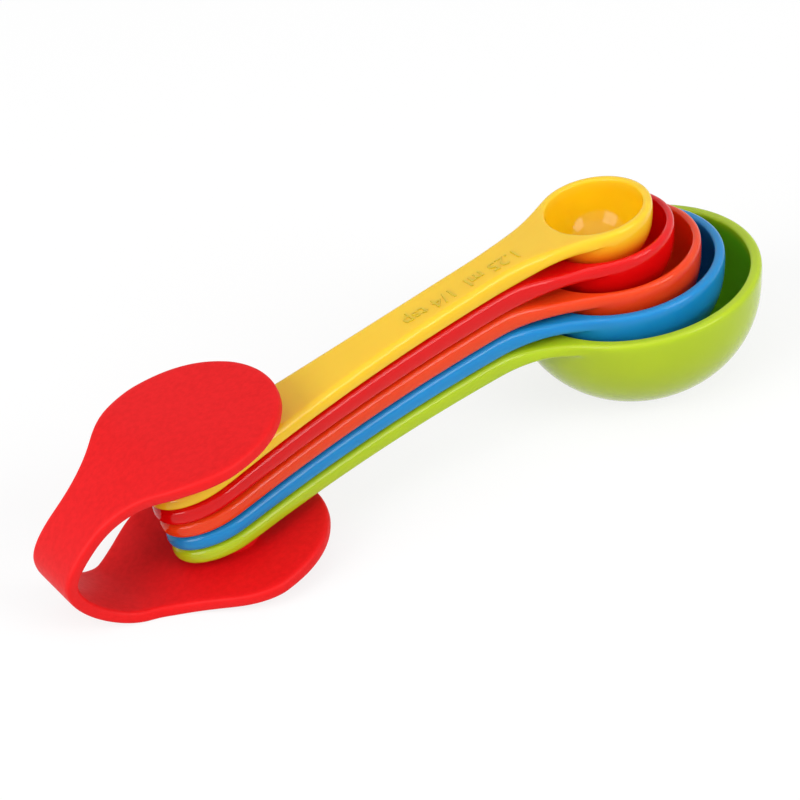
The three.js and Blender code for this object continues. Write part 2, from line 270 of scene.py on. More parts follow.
def grow(bm, region, places):
    """Extrudes the region once for each place, and moves its corners to place(row, column)."""
    row, col = bm.verts.layers.int["row"], bm.verts.layers.int["col"]
    for place in places:
        grown = bmesh.ops.extrude_face_region(bm, geom=parts_of(region))["geom"]
        region = [part for part in grown if isinstance(part, bmesh.types.BMFace)]
        for corner in {corner for face in region for corner in face.verts}:
            corner.co = place(corner[row], corner[col])
    return region


# %% [markdown]
# The handle's outline, from above, is a fillet out of the bowl, a slender middle, a taper that
# widens again, and a round end. `across` and `bow` spread the columns of the patch over its width.
# The rows go down its side: three round its upper edge, and two its lower one.

# %% Outline and stations of a handle
SIDE_INSETS = [0.9, 0.26, 0.0, 0.0, 0.5]
NECK_STATIONS = (0.07, 0.16, 0.27, 0.4, 0.54, 0.69, 0.84, 1.0)
HANDLE_STATIONS = 11
TIP_ANGLES = (0, 14, 27, 39, 50)
LAST_TIP_ANGLE = 61


def fillet_of(spoon):
    """Radius of the fillet in plan, and the angle at which it meets the bowl."""
    outer, reach = spoon["radius"] + spoon["rim"], spoon["x"] - NECK_X
    fillet = (reach ** 2 + HANDLE_HALF ** 2 - outer ** 2) / (2 * (outer - HANDLE_HALF))
    return fillet, acos(reach / (outer + fillet))


def half_width(spoon, tip, x):
    """Half the width of the outline at x, between the handle's tip and the bowl."""
    fillet, touch = fillet_of(spoon)
    if x < NECK_X:
        taper = min(1, (x - tip) / TAPER_LENGTH)
        return HANDLE_HALF + (TIP_HALF - HANDLE_HALF) * (1 - taper) ** 2
    if x < spoon["x"] - (spoon["radius"] + spoon["rim"]) * cos(touch):
        return HANDLE_HALF + fillet - sqrt(fillet ** 2 - (x - NECK_X) ** 2)
    return sqrt((spoon["radius"] + spoon["rim"]) ** 2 - (x - spoon["x"]) ** 2)


def handle_places(spoon, place, columns):
    """Where each ring of the handle puts its corners, from the bowl to the round end."""
    outer, tip = spoon["radius"] + spoon["rim"], tip_x(place)
    touch = columns * STEP
    begin = spoon["x"] - outer * cos(touch)

    def across(col):
        return sin(col * STEP) / sin(touch)

    def bow(col):
        return (cos(col * STEP) - cos(touch)) / (1 - cos(touch))

    def height(x, row, share):
        neck = neck_share(spoon, x)
        thick = (spoon["handle"] + FAN * (x - tip)) * (1 - neck) + NECK_THICK * neck
        side = [0.0, 0.26, 0.9, thick - 0.5, thick][row - 1]
        return top_height(spoon, place, x) - side * share - EDGE_DROPS[row - 1] * (1 - share)

    def along(x, sag, share):
        def corner(row, col):
            inset = SIDE_INSETS[row - 1] * share + EDGE_INSETS[row - 1] * (1 - share)
            here = x - sag * bow(col)
            y = (half_width(spoon, tip, x) - inset) * across(col)
            return Vector((here, y, height(here, row, share)))
        return corner

    def around(angle, sweep):
        def corner(row, col):
            inset = SIDE_INSETS[row - 1]
            turned = angle + (pi / 2 - angle) * (1 - abs(col) / columns) if sweep else angle
            here = tip - (TIP_LENGTH - inset) * sin(turned)
            wide = (TIP_HALF - inset) * cos(turned)
            y = (wide if col > 0 else -wide if col < 0 else 0) if sweep else wide * across(col)
            return Vector((here, y, height(here, row, 1)))
        return corner

    neck = [begin + (NECK_X - begin) * t for t in NECK_STATIONS]
    places = []
    for x in neck:
        way = (x - begin) / (NECK_X - begin)
        places.append(along(x, outer * (1 - cos(touch)) * (1 - smooth(way)), smooth(way * 2.5)))
    places += [along(NECK_X + (tip - NECK_X) * k / HANDLE_STATIONS, 0, 1)
               for k in range(1, HANDLE_STATIONS)]
    places += [around(radians(angle), False) for angle in TIP_ANGLES]
    return places + [around(radians(LAST_TIP_ANGLE), True)]


for spoon in SPOONS:
    print(name_of(spoon), "fillet", [round(v, 2) for v in fillet_of(spoon)], "mm and radians")

# %% [markdown]
# ## From a cage to a finished spoon
# The mesh so far is a coarse cage. Subdivision rounds it, and cutting the hole for the strap's
# post comes last, because a round hole in the cage would pull the surface around it out of shape.

# %% From a bmesh to a finished mesh
def object_of(name, bm):
    """Puts a bmesh into the scene as an object, with its faces outwards."""
    bmesh.ops.recalc_face_normals(bm, faces=bm.faces)
    mesh = bpy.data.meshes.new(name)
    bm.to_mesh(mesh)
    bm.free()
    piece = bpy.data.objects.new(name, mesh)
    bpy.context.scene.collection.objects.link(piece)
    return piece


def bake_modifiers(piece):
    """Puts the modifiers' result into the mesh itself."""
    shown = piece.evaluated_get(bpy.context.evaluated_depsgraph_get())
    mesh = bpy.data.meshes.new_from_object(shown)
    piece.modifiers.clear()
    piece.data = mesh
    return piece


def rounded(piece, levels=2):
    step = piece.modifiers.new("rounded", "SUBSURF")
    step.levels = step.render_levels = levels
    return bake_modifiers(piece)


def soften(piece, angle=32):
    """Smooth shading, except over edges that are sharper than this angle."""
    piece.data.polygons.foreach_set("use_smooth", [True] * len(piece.data.polygons))
    piece.data.set_sharp_from_angle(angle=radians(angle))
    print(piece.name, len(piece.data.polygons), "faces")
    return piece


def post_drill(length=60):
    """A pin along the post, longer than the stack is high, that cuts the holes."""
    bm = bmesh.new()
    bmesh.ops.create_cone(bm, cap_ends=True, segments=TURN_STEPS, radius1=HOLE_RADIUS,
                          radius2=HOLE_RADIUS, depth=length)
    lean = Matrix.Rotation(-STRAP_LEAN, 3, "Y")
    bmesh.ops.rotate(bm, verts=bm.verts, cent=(0, 0, 0), matrix=lean)
    bmesh.ops.translate(bm, verts=bm.verts, vec=(PAD_X, 0, PAD_Z))
    bm.transform(TO_FRAME)
    return object_of("drill", bm)


# %% [markdown]
# A finish can't tell the inside of a bowl from its outside. So every corner of a finished spoon
# keeps two numbers for it: one is 1 inside the bowl, and one grows towards the bowl's bottom. The
# first places painted bounce light inside the bowl. The second places painted light and shade
# towards the bottom of the outside.

# %% Numbers that the finishes read
INSIDE_END, INSIDE_FADE = 1.12, 0.06
RIM_DEPTH, RIM_FADE = 0.3, 1.8
LOW_START, LOW_REACH = 1.2, 0.55


def mark(piece, name, share_of):
    """Keeps a number between 0 and 1 on every corner, which a finish can read by this name."""
    kept = piece.data.attributes.new(name, "FLOAT", "POINT")
    for corner, value in zip(piece.data.vertices, kept.data):
        value.value = share_of(corner.co)


def rim_place(spoon):
    """Moves a bowl from the origin to its place in the set."""
    return (Matrix.Translation((spoon["x"], 0, rim_height(spoon, spoon["x"])))
            @ Matrix.Rotation(-radians(spoon["lean"]), 4, "Y"))


# Where the painted bounce light goes: a deeper hue of the plastic inside the bowl
def painted_bounce_light_share(spoon):
    """1 on the inside of the bowl below its edge, 0 everywhere else."""
    back = (TO_FRAME @ rim_place(spoon)).inverted()

    def share(point):
        x, y, z = back @ point
        if z > 0:
            return 0.0
        wide, deep = hypot(x, y) / spoon["radius"], -z / bowl_depth(spoon)
        full = wide ** BOWL_POWER + deep ** BOWL_POWER
        return smooth((INSIDE_END - full) / INSIDE_FADE) * smooth((-z - RIM_DEPTH) / RIM_FADE)
    return share


# Where the painted light and shade goes, on the outside towards the bowl's bottom
def painted_underside_light_share(spoon):
    """Grows from 0 at the bowl's rim to 1 at its bottom, on the outside."""
    top, inside = rim_height(spoon, spoon["x"]), painted_bounce_light_share(spoon)

    def share(point):
        x, y, z = TO_FRAME.inverted() @ point
        if hypot(x - spoon["x"], y) >= spoon["radius"] + spoon["rim"]:
            return 0.0
        below = smooth((top - z - LOW_START) / (bowl_depth(spoon) * LOW_REACH))
        return below * (1 - inside(point))
    return share


# %% [markdown]
# Now each spoon goes through all the steps. The corners at the bowl's middle have no direction
# around it, so they get a column that no handle reaches.

# %% Make the five spoons
NO_COLUMN = 99


def spoon_cage(spoon, place):
    """The bowl with its handle, before it is rounded."""
    bm = turn_bowl(spoon)
    row, col = bm.verts.layers.int["row"], bm.verts.layers.int.new("col")
    for corner in bm.verts:
        x, y = corner.co.xy
        corner[col] = round(atan2(y, -x) / STEP) if hypot(x, y) > 1e-3 else NO_COLUMN
    columns = round(fillet_of(spoon)[1] / STEP)
    bm.transform(rim_place(spoon))
    patch = [face for face in bm.faces
             if all(corner[row] > 0 and abs(corner[col]) <= columns for corner in face.verts)]
    grow(bm, patch, handle_places(spoon, place, columns))
    bm.transform(TO_FRAME)
    print(name_of(spoon), "cage:", counts(bm))
    return bm


drill = post_drill()
spoons = {}
for place, spoon in enumerate(SPOONS):
    piece = rounded(object_of(name_of(spoon) + "_shape", spoon_cage(spoon, place)))
    cut = piece.modifiers.new("hole", "BOOLEAN")
    cut.object, cut.operation, cut.solver = drill, "DIFFERENCE", "EXACT"
    spoons[name_of(spoon)] = soften(bake_modifiers(piece))
    # This number places the painted bounce light inside the bowl
    mark(piece, "inside", painted_bounce_light_share(spoon))
    # This number places the painted light and shade towards the bottom of the outside
    mark(piece, "low", painted_underside_light_share(spoon))
bpy.data.objects.remove(drill)

# %% [markdown]
# ## The strap, drawn flat
# The real strap is moulded flat: a thin plate with a round pad at each end and a narrow waist.
# It is only folded when the spoons are on it, so it is built the same way. A small grid, which is
# the rounded end of the first pad, is extruded along the strap to the end of the other pad.

# %% The middle line of the folded strap
ALONG = Vector((cos(PAD_LEAN), sin(PAD_LEAN)))
SQUARE = Vector((-ALONG.y, ALONG.x))


def bezier(a, b, c, d, steps=200):
    """Points of a Bezier curve from a to d."""
    for k in range(steps + 1):
        t = k / steps
        yield a * (1 - t) ** 3 + b * 3 * t * (1 - t) ** 2 + c * 3 * t * t * (1 - t) + d * t ** 3


def strap_line():
    """Points of the middle line with their distance from the lower pad's middle, and the
    distances at which its curves end."""
    lower = Vector(post_point(0)) - SQUARE * STRAP_THICK / 2
    upper = Vector(post_point(PAD_SPACING)) - SQUARE * STRAP_THICK / 2
    flat = Vector((FLAT_X + FLAT_LENGTH / 2, STRAP_THICK / 2))
    rise = flat - Vector((FLAT_LENGTH, 0))
    far, bend = Vector((LOOP_X, LOOP_Z)), upper - ALONG * BEND_FROM_PAD
    curves = [
        bezier(lower, lower - ALONG * ARM_REACH, flat + Vector((FLAT_REACH, 0)), flat),
        bezier(flat, flat.lerp(rise, 1 / 3), flat.lerp(rise, 2 / 3), rise),
        bezier(rise, rise - Vector((LOOP_REACH, 0)), far - Vector((0, LOOP_REACH)), far),
        bezier(far, far + Vector((0, LOOP_REACH)), bend - ALONG * BEND_REACH, bend),
        bezier(bend, bend.lerp(upper, 1 / 3), bend.lerp(upper, 2 / 3), upper),
    ]
    points, ends, length = [(0.0, lower)], [], 0.0
    for curve in curves:
        for point in list(curve)[1:]:
            length += (point - points[-1][1]).length
            points.append((length, point))
        ends.append(length)
    return points, ends


LINE, ENDS = strap_line()
STRAP_LENGTH = ENDS[-1]
print("strap from pad middle to pad middle:", round(STRAP_LENGTH, 2), "mm")
print("curves end at", [round(end, 2) for end in ENDS])

# %% [markdown]
# The grid's columns spread over the strap's width, and its rows go down through its thickness,
# with soft upper and lower edges. A station every 1.3 mm keeps the later bends smooth.

# %% Grow the flat strap
STRAP_INSETS = [0.6, 0.18, 0.0, 0.0, 0.18, 0.6]
STRAP_HEIGHTS = [1.1, 0.92, 0.5, -0.5, -0.92, -1.1]
STRAP_COLUMNS = 8
STRAP_STATION = 1.3
PAD_ANGLES = (50, 40, 29, 15)
FIRST_PAD_ANGLE = 60


def strap_half(s):
    """Half width at this distance along the strap, between the pads' middles."""
    lower = s < STRAP_LENGTH / 2
    distance, fillet = (s, LOWER_FILLET) if lower else (STRAP_LENGTH - s, UPPER_FILLET)
    reach = sqrt((PAD_RADIUS + fillet) ** 2 - (WAIST_HALF + fillet) ** 2)
    if distance < reach * PAD_RADIUS / (PAD_RADIUS + fillet):
        return sqrt(PAD_RADIUS ** 2 - distance ** 2)
    if distance < reach:
        return WAIST_HALF + fillet - sqrt(fillet ** 2 - (distance - reach) ** 2)
    return WAIST_HALF


def strap_across(s):
    """A place for the grid straight across the strap, at this distance."""
    def corner(row, col):
        y = (strap_half(s) - STRAP_INSETS[row]) * col / STRAP_COLUMNS
        return Vector((s, y, STRAP_HEIGHTS[row]))
    return corner


def strap_around(middle, out, angle, sweep=False):
    """A place for the grid across a pad's outer half, or swept around the pad's end."""
    def corner(row, col):
        radius = PAD_RADIUS - STRAP_INSETS[row]
        turned = angle + (pi / 2 - angle) * (1 - abs(col) / STRAP_COLUMNS) if sweep else angle
        wide = radius * cos(turned)
        y = (wide if col > 0 else -wide if col < 0 else 0) if sweep else wide * col / STRAP_COLUMNS
        return Vector((middle + out * radius * sin(turned), y, STRAP_HEIGHTS[row]))
    return corner


def flat_strap():
    bm = bmesh.new()
    row, col = bm.verts.layers.int.new("row"), bm.verts.layers.int.new("col")
    rows = len(STRAP_INSETS) - 1
    bmesh.ops.create_grid(bm, x_segments=2 * STRAP_COLUMNS, y_segments=rows, size=1)
    first = strap_around(0, -1, radians(FIRST_PAD_ANGLE), True)
    for corner in bm.verts:
        corner[row] = round((1 - corner.co.y) * rows / 2)
        corner[col] = round(corner.co.x * STRAP_COLUMNS)
        corner.co = first(corner[row], corner[col])
    steps = ceil(STRAP_LENGTH / STRAP_STATION)
    places = [strap_around(0, -1, radians(angle)) for angle in PAD_ANGLES]
    places += [strap_across(STRAP_LENGTH * k / steps) for k in range(steps + 1)]
    places += [strap_around(STRAP_LENGTH, 1, radians(angle)) for angle in reversed(PAD_ANGLES)]
    places += [strap_around(STRAP_LENGTH, 1, radians(FIRST_PAD_ANGLE), True)]
    grow(bm, list(bm.faces), places)
    print("flat strap:", counts(bm))
    return bm


strap_shape = rounded(object_of("strap_flat", flat_strap()))

# %% [markdown]
# ## Cutting and folding the strap
# The model bends at four hinges, and a piece can only turn between two neighbouring bodies. So
# the strap is cut across at three places that never bend, half way between two hinges, and the
# four lengths meet there without a gap. Folding moves each corner from its distance along the flat
# strap to the same distance along the folded middle line.

# %% Fold a length of strap
HINGE_SHARES = [0.1, 0.36, 0.62, 0.88]
# How far in from the outline the painted edge light reaches, in mm
PAINTED_EDGE_LIGHT_WIDTH = 1.5


def hinge_distance(share):
    """Distance along the strap of a hinge at this share of the loop."""
    return ENDS[1] + (ENDS[3] - ENDS[1]) * share


def line_at(s):
    """Point on the middle line and its heading, also straight on past both ends."""
    if s <= 0:
        return LINE[0][1] - ALONG * s, -ALONG
    if s >= STRAP_LENGTH:
        return LINE[-1][1] + ALONG * (s - STRAP_LENGTH), ALONG.copy()
    low, high = 0, len(LINE) - 1
    while high - low > 1:
        half = (low + high) // 2
        low, high = (half, high) if LINE[half][0] <= s else (low, half)
    (s0, p0), (s1, p1) = LINE[low], LINE[high]
    before, after = LINE[max(low - 1, 0)][1], LINE[min(high + 1, len(LINE) - 1)][1]
    share = (s - s0) / (s1 - s0)
    heading = (p1 - before).normalized().lerp((after - p0).normalized(), share)
    return p0.lerp(p1, share), heading.normalized()


def strap_side(s):
    """How far the strap runs off its middle line to the far side, between the pads."""
    return LOWER_SIDE * smooth(s / SIDE_LENGTH) * (1 - smooth((s - ENDS[0]) / (ENDS[3] - ENDS[0])))


def strap_lift(s):
    """How far the far edge rises where the lower arm twists."""
    rise = smooth((s - LIFT_START) / (LIFT_FULL - LIFT_START))
    return EDGE_LIFT * rise * (1 - smooth((s - LIFT_HOLD) / (LIFT_END - LIFT_HOLD)))


def folded(corner):
    """A corner of the flat strap, moved to its place on the folded one."""
    s, across, out = corner
    point, heading = line_at(s)
    far_share = max(0, (across / strap_half(max(s, 0)) + 1) / 2)
    lift = strap_lift(s) * far_share ** LIFT_POWER if LIFT_START < s < LIFT_END else 0
    out *= 1 - STRAP_INSET / (STRAP_THICK / 2)
    x, z = point.x - heading.y * out, point.y + heading.x * out + lift
    return Vector((x, across + strap_side(s), z))


# Mask for the painted light along the strap's rounded edges
def painted_edge_light_share(corner):
    """1 on the strap's outline, falling to 0 a little way in."""
    s, across = corner.x, abs(corner.y)
    if 0 < s < STRAP_LENGTH:
        room = strap_half(s) - across
    else:
        room = PAD_RADIUS - hypot(s if s <= 0 else s - STRAP_LENGTH, across)
    return 1 - smooth(room / PAINTED_EDGE_LIGHT_WIDTH)


def strap_length(name, start, end):
    """One length of the strap, cut out of the flat one, closed, and folded."""
    bm = bmesh.new()
    bm.from_mesh(strap_shape.data)
    # This number places the painted light along the strap's rounded edges
    kept = bm.verts.layers.float.new("edge")
    for where, side in ((start, -1), (end, 1)):
        if where is not None:
            bmesh.ops.bisect_plane(bm, geom=bm.verts[:] + bm.edges[:] + bm.faces[:], dist=1e-5,
                                   plane_co=(where, 0, 0), plane_no=(side, 0, 0), clear_outer=True)
            bmesh.ops.edgeloop_fill(bm, edges=[edge for edge in bm.edges if edge.is_boundary])
    for corner in bm.verts:
        corner[kept] = painted_edge_light_share(corner.co)
        corner.co = folded(corner.co)
    bm.transform(TO_FRAME)
    return soften(object_of(name, bm))


cuts = [hinge_distance((a + b) / 2) for a, b in zip(HINGE_SHARES, HINGE_SHARES[1:])]
names = ["strap_lower_pad", "strap_loop_low", "strap_loop_high", "strap_upper_pad"]
strap = [strap_length(name, start, end)
         for name, start, end in zip(names, [None] + cuts, cuts + [None])]
bpy.data.objects.remove(strap_shape)
print("cut at", [round(c, 2) for c in cuts])

# %% [markdown]
# ## The post and the socket
# The strap fastens with a post that goes up through the holes in the handles and snaps into a
# socket under the upper pad. Both are turned shapes, so a half section is spun around the post.

# %% Turn the fastening
SHARP_ANGLE, EDGE_ROUND = 50, 0.3


def turned_on_post(name, section):
    """A half section, as (radius, height along the post), turned round with softened edges."""
    bm = bmesh.new()
    spin_line(bm, [bm.verts.new((radius, 0, height)) for radius, height in section])
    sharp = [edge for edge in bm.edges
             if edge.calc_face_angle(0) > radians(SHARP_ANGLE) and edge.verts[0].co.xy.length > 1]
    bmesh.ops.bevel(bm, geom=sharp, offset=EDGE_ROUND, segments=3, profile=0.5, affect="EDGES",
                    material=-1)
    on_post = Matrix.Translation((PAD_X, 0, PAD_Z)) @ Matrix.Rotation(-STRAP_LEAN, 4, "Y")
    bm.transform(TO_FRAME @ on_post)
    return soften(object_of(name, bm))


seat = handle_top(0, PAD_X) - SPOONS[0]["handle"]
shoulder = (seat - PAD_Z) * cos(STRAP_LEAN) - 2 * GAP
mouth = PAD_SPACING - STRAP_THICK - SOCKET_DEPTH
ceiling = mouth + SOCKET_DEPTH
strap_post = turned_on_post("strap_post", [
    (0, -EMBED), (SHOULDER_RADIUS, -EMBED), (SHOULDER_RADIUS, shoulder), (POST_RADIUS, shoulder),
    (POST_RADIUS, POST_HEIGHT - 2.2), (POST_RADIUS + 0.3, POST_HEIGHT - 1.3),
    (POST_RADIUS - 0.5, POST_HEIGHT), (0, POST_HEIGHT)])
strap_socket = turned_on_post("strap_socket", [
    (0, ceiling + EMBED), (SOCKET_RADIUS, ceiling + EMBED), (SOCKET_RADIUS, mouth),
    (SOCKET_BORE, mouth), (SOCKET_BORE, ceiling - EMBED), (0, ceiling - EMBED)])
print("shoulder height", round(shoulder, 2), "mm, socket mouth", round(mouth, 2), "mm up the post")

# %% [markdown]
# ## Raised measures
# Each spoon carries its measure in low raised letters on the handle, read from the bowl's end.
# Letters are easiest as a text curve, made into a mesh while it is flat, and then laid on the arch
# of the handle.

# %% Raise the measures
KITCHEN_MEASURES = ["1 tbsp", "1/2 tbsp", "1 tsp", "1/2 tsp", "1/4 tsp"]
LETTER_SIZE, LETTER_RISE, LETTER_SINK = 3.6, 0.13, 0.4
FROM_BOWL, TO_NEAR_SIDE = 6.3, 0.9
LETTER_ANGLE = 40


def raised_words(name, words, spoon, place):
    """Letters on top of a handle, from the bowl's end towards the strap."""
    curve = bpy.data.curves.new(name, "FONT")
    # Any thickness does here, because the letters get their heights on the handle
    curve.body, curve.size, curve.extrude = words, LETTER_SIZE, 0.35
    curve.align_x, curve.align_y = "LEFT", "CENTER"
    curve.resolution_u = 6
    text = bpy.data.objects.new(name + "_text", curve)
    bpy.context.scene.collection.objects.link(text)
    bpy.context.view_layer.update()
    flat = text.evaluated_get(bpy.context.evaluated_depsgraph_get())
    mesh = bpy.data.meshes.new_from_object(flat)
    bpy.data.objects.remove(text)
    bm = bmesh.new()
    bm.from_mesh(mesh)
    bmesh.ops.remove_doubles(bm, verts=bm.verts, dist=1e-4)
    start = spoon["x"] - spoon["radius"] - spoon["rim"] - FROM_BOWL
    for corner in bm.verts:
        x, y = start - corner.co.x, -corner.co.y - TO_NEAR_SIDE
        rise = LETTER_RISE if corner.co.z > 0 else -LETTER_SINK
        corner.co = Vector((x, y, top_height(spoon, place, x) + rise))
    bm.transform(TO_FRAME)
    return soften(object_of(name, bm), LETTER_ANGLE)


numbers = {}
for place, (spoon, measure) in enumerate(zip(SPOONS, KITCHEN_MEASURES)):
    name, words = name_of(spoon), f"{spoon['ml']:g} ml  {measure}"
    numbers[name] = raised_words(name + "_number", words, spoon, place)

# %% [markdown]
# ## Riding the bodies
# A spoon is stiff and rides on one body, and its letters ride with it. The post rides on the
# strap's base and the socket on its flap. The lengths of strap keep their folded shape where they
# are, and the CAD nodes on both sides of each hinge are hidden.

# %% Hand the spoons, the post and the socket to their bodies
BEND_HALF = 0.0035
for spoon in SPOONS:
    name = name_of(spoon)
    for piece in (spoons[name], numbers[name]):
        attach(piece, name)
        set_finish(piece, spoon["slot"])
    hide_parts(name)
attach(strap_post, "strap_base")
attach(strap_socket, "strap_flap")

bodies = ["strap_base", "strap_link_1", "strap_link_2", "strap_link_3", "strap_flap"]
for piece, share, a, b in zip(strap, HINGE_SHARES, bodies, bodies[1:]):
    point, heading = line_at(hinge_distance(share))
    middle = TO_FRAME @ Vector((point.x, strap_side(hinge_distance(share)), point.y))
    ahead = Vector((heading.x, 0, heading.y)) * BEND_HALF
    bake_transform(piece)
    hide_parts(a, b)
for piece in strap + [strap_post, strap_socket]:
    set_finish(piece, "red_silicone")
print("pieces:", len(spoons) + len(numbers) + len(strap) + 2)

# %% [markdown]
# ## Sums in a shader
# A finish is a sum of patterns. Written node by node, such a sum is long and hard to read, so one
# small class wraps a node's output and lets Python's own signs add the Math nodes.

# %% A wire and a finish
class Wire:
    """One output of a node, which can be used in sums."""

    def __init__(self, finish, socket):
        self.finish, self.socket = finish, socket

    def maths(self, operation, first, second):
        return self.finish.node("ShaderNodeMath", {"operation": operation}, {0: first, 1: second})

    def __add__(self, other):
        return self.maths("ADD", self, other)

    def __radd__(self, other):
        return self.maths("ADD", other, self)

    def __sub__(self, other):
        return self.maths("SUBTRACT", self, other)

    def __rsub__(self, other):
        return self.maths("SUBTRACT", other, self)

    def __mul__(self, other):
        return self.maths("MULTIPLY", self, other)

    def __rmul__(self, other):
        return self.maths("MULTIPLY", other, self)


class Finish:
    """A material under construction."""

    def __init__(self, name):
        self.material = bpy.data.materials.new(name)
        self.material.use_nodes = True
        self.tree = self.material.node_tree
        self.tree.nodes.clear()
        self.place = self.node("ShaderNodeTexCoord", {}, {}, "Object")

    def node(self, kind, settings, sockets, out=0):
        """Adds a node: its settings come first, then the values or wires of its sockets."""
        made = self.tree.nodes.new(kind)
        for key, value in settings.items():
            if key == "stops":
                while len(made.color_ramp.elements) < len(value):
                    made.color_ramp.elements.new(1)
                for stop, (position, grey) in zip(made.color_ramp.elements, value):
                    stop.position, stop.color = position, (grey, grey, grey, 1)
            else:
                setattr(made, key, value)
        for key, value in sockets.items():
            if isinstance(value, Wire):
                self.tree.links.new(value.socket, made.inputs[key])
            else:
                made.inputs[key].default_value = value
        return Wire(self, made.outputs[out])

    def noise(self, size, detail, rough=0.5):
        """Soft noise with features of about this size in millimetres."""
        return self.node("ShaderNodeTexNoise", {}, {
            "Vector": self.place, "Scale": 1000 / size, "Detail": detail, "Roughness": rough})

    def specks(self, per_metre, size, patches, full):
        """Small dots, one to a cell and this size in it, in the patches where a noise is high."""
        sockets = {"Vector": self.place, "Scale": per_metre, "Randomness": 1.0}
        cells = self.node("ShaderNodeTexVoronoi", {"feature": "F1"}, sockets, "Distance")
        dots = self.ramp(cells, (0.0, 1.0), (size, 0.0))
        return dots * self.ramp(self.noise(patches, 1), (0.6, 0.0), (full, 1.0))

    def marked(self, name):
        """The number that a piece keeps under this name."""
        return self.node("ShaderNodeAttribute", {"attribute_name": name}, {}, "Fac")

    def ramp(self, value, *stops):
        return self.node("ShaderNodeValToRGB", {"stops": stops}, {"Fac": value})

    def tint(self, share, first, second):
        """One colour where share is 0, another where it is 1."""
        sockets = {0: share, 6: first, 7: second}
        return self.node("ShaderNodeMix", {"data_type": "RGBA"}, sockets, 2)

    def bump(self, height, depth, strength):
        """Relief with this depth in millimetres."""
        return self.node("ShaderNodeBump", {}, {
            "Height": height, "Distance": depth / 1000, "Strength": strength})

    def close(self, **surface):
        """Ends the material in a Principled BSDF with these sockets."""
        sockets = {key.replace("_", " "): value for key, value in surface.items()}
        return self.end(self.node("ShaderNodeBsdfPrincipled", {}, sockets))

    def end(self, shader):
        """Sends a shader to the surface."""
        last = self.tree.nodes.new("ShaderNodeOutputMaterial")
        self.tree.links.new(shader.socket, last.inputs["Surface"])
        return self.material


def linear(red, green, blue, share=1.0):
    """A colour as it looks on screen, or a share of it, as the light that a shader takes."""
    channels = [c * share for c in (red, green, blue)]
    return tuple(c / 255 / 12.92 if c <= 10 else ((c / 255 + 0.055) / 1.055) ** 2.4
                 for c in channels) + (1.0,)


# %% [markdown]
# ## Glossy plastic
# The spoons are moulded polypropylene: an even colour with a slight cloudiness, a soft gloss that
# is never quite the same all over, a faint waviness, and here and there a speck of dust. The
# plastic is a little translucent, which brightens the insides. The colour also carries painted
# light: a deeper hue inside the bowl for the light that bounces there, and painted light and shade
# towards the bottom of the outside.

# %% The five plastics
def moulded_plastic(name, colour, deep, below):
    finish = Finish(name)
    cloud = finish.ramp(finish.noise(14, 3), (0.35, 0.0), (0.7, 1.0))
    grain = finish.noise(0.5, 2)
    worn = finish.ramp(finish.noise(5, 4, 0.7), (0.45, 0.0), (0.8, 1.0))
    body = finish.tint(cloud * 0.5, linear(*colour), linear(*colour, 0.95))
    # Painted bounce light: inside the bowl the colour turns to the deeper hue of light bouncing
    # there
    body = finish.tint(finish.marked("inside") * 0.95, body, linear(*deep))
    # Painted light and shade towards the bottom of the outside: a little darker, and on the yellow
    # spoon orange for the red bowl's light shining through it
    body = finish.tint(finish.marked("low") * 0.85, body, linear(*below))
    specks = finish.specks(per_metre=210, size=0.035, patches=9, full=0.62)
    body = finish.tint(specks * 0.4, body, linear(*colour, 0.6))
    relief = finish.bump(finish.noise(3.2, 2), 0.02, 0.6)
    return finish.close(
        Base_Color=body,
        Roughness=0.05 + worn * 0.07 + grain * 0.03,
        Normal=relief,
        IOR=1.49,
        Specular_IOR_Level=0.27,
        Subsurface_Weight=0.6,
        Subsurface_Radius=tuple(0.2 + 0.8 * c for c in linear(*colour)[:3]),
        Subsurface_Scale=0.004,
    )


# Each has the colour of its outside, the painted bounce light inside the bowl, and the painted
# light and shade towards the bottom of its outside
PLASTICS = {
    "green_plastic": ((177, 200, 30), (130, 200, 30), (172, 192, 22)),
    "blue_plastic": ((24, 138, 202), (20, 114, 190), (22, 128, 190)),
    "orange_plastic": ((234, 68, 20), (248, 62, 16), (228, 50, 14)),
    "red_plastic": ((218, 8, 12), (248, 14, 10), (214, 10, 8)),
    "yellow_plastic": ((246, 198, 40), (244, 192, 14), (248, 92, 6)),
}
finishes = {slot: moulded_plastic(slot, *colours) for slot, colours in PLASTICS.items()}
print("plastics:", list(finishes))

# %% [markdown]
# ## Matte silicone
# Silicone rubber is matte and finely mottled, and its rounded edges are painted a little lighter,
# for the light that shines through the thin rubber there. It has no gloss, so roughness stays high
# and the grain is fine.

# %% The silicone
def matte_silicone():
    finish = Finish("red_silicone")
    mottle = finish.noise(0.9, 3, 0.6)
    patch = finish.ramp(finish.noise(11, 2), (0.3, 0.0), (0.75, 1.0))
    spots = finish.ramp(mottle, (0.35, 0.0), (0.65, 1.0))
    red = finish.tint(spots, linear(223, 12, 18), linear(212, 8, 13))
    red = finish.tint(patch * 0.3, red, linear(226, 22, 28))
    # Painted light: the rounded edges turn lighter, for light shining through the thin rubber
    red = finish.tint(finish.marked("edge") * 0.45, red, linear(236, 28, 28))
    dust = finish.specks(per_metre=160, size=0.03, patches=7, full=0.63)
    red = finish.tint(dust * 0.5, red, linear(245, 150, 150))
    relief = finish.bump(finish.noise(0.35, 3, 0.6), 0.03, 0.5)
    return finish.close(
        Base_Color=red,
        Roughness=0.48 + mottle * 0.14,
        Normal=relief,
        IOR=1.41,
        Specular_IOR_Level=0.28,
    )


finishes["red_silicone"] = matte_silicone()

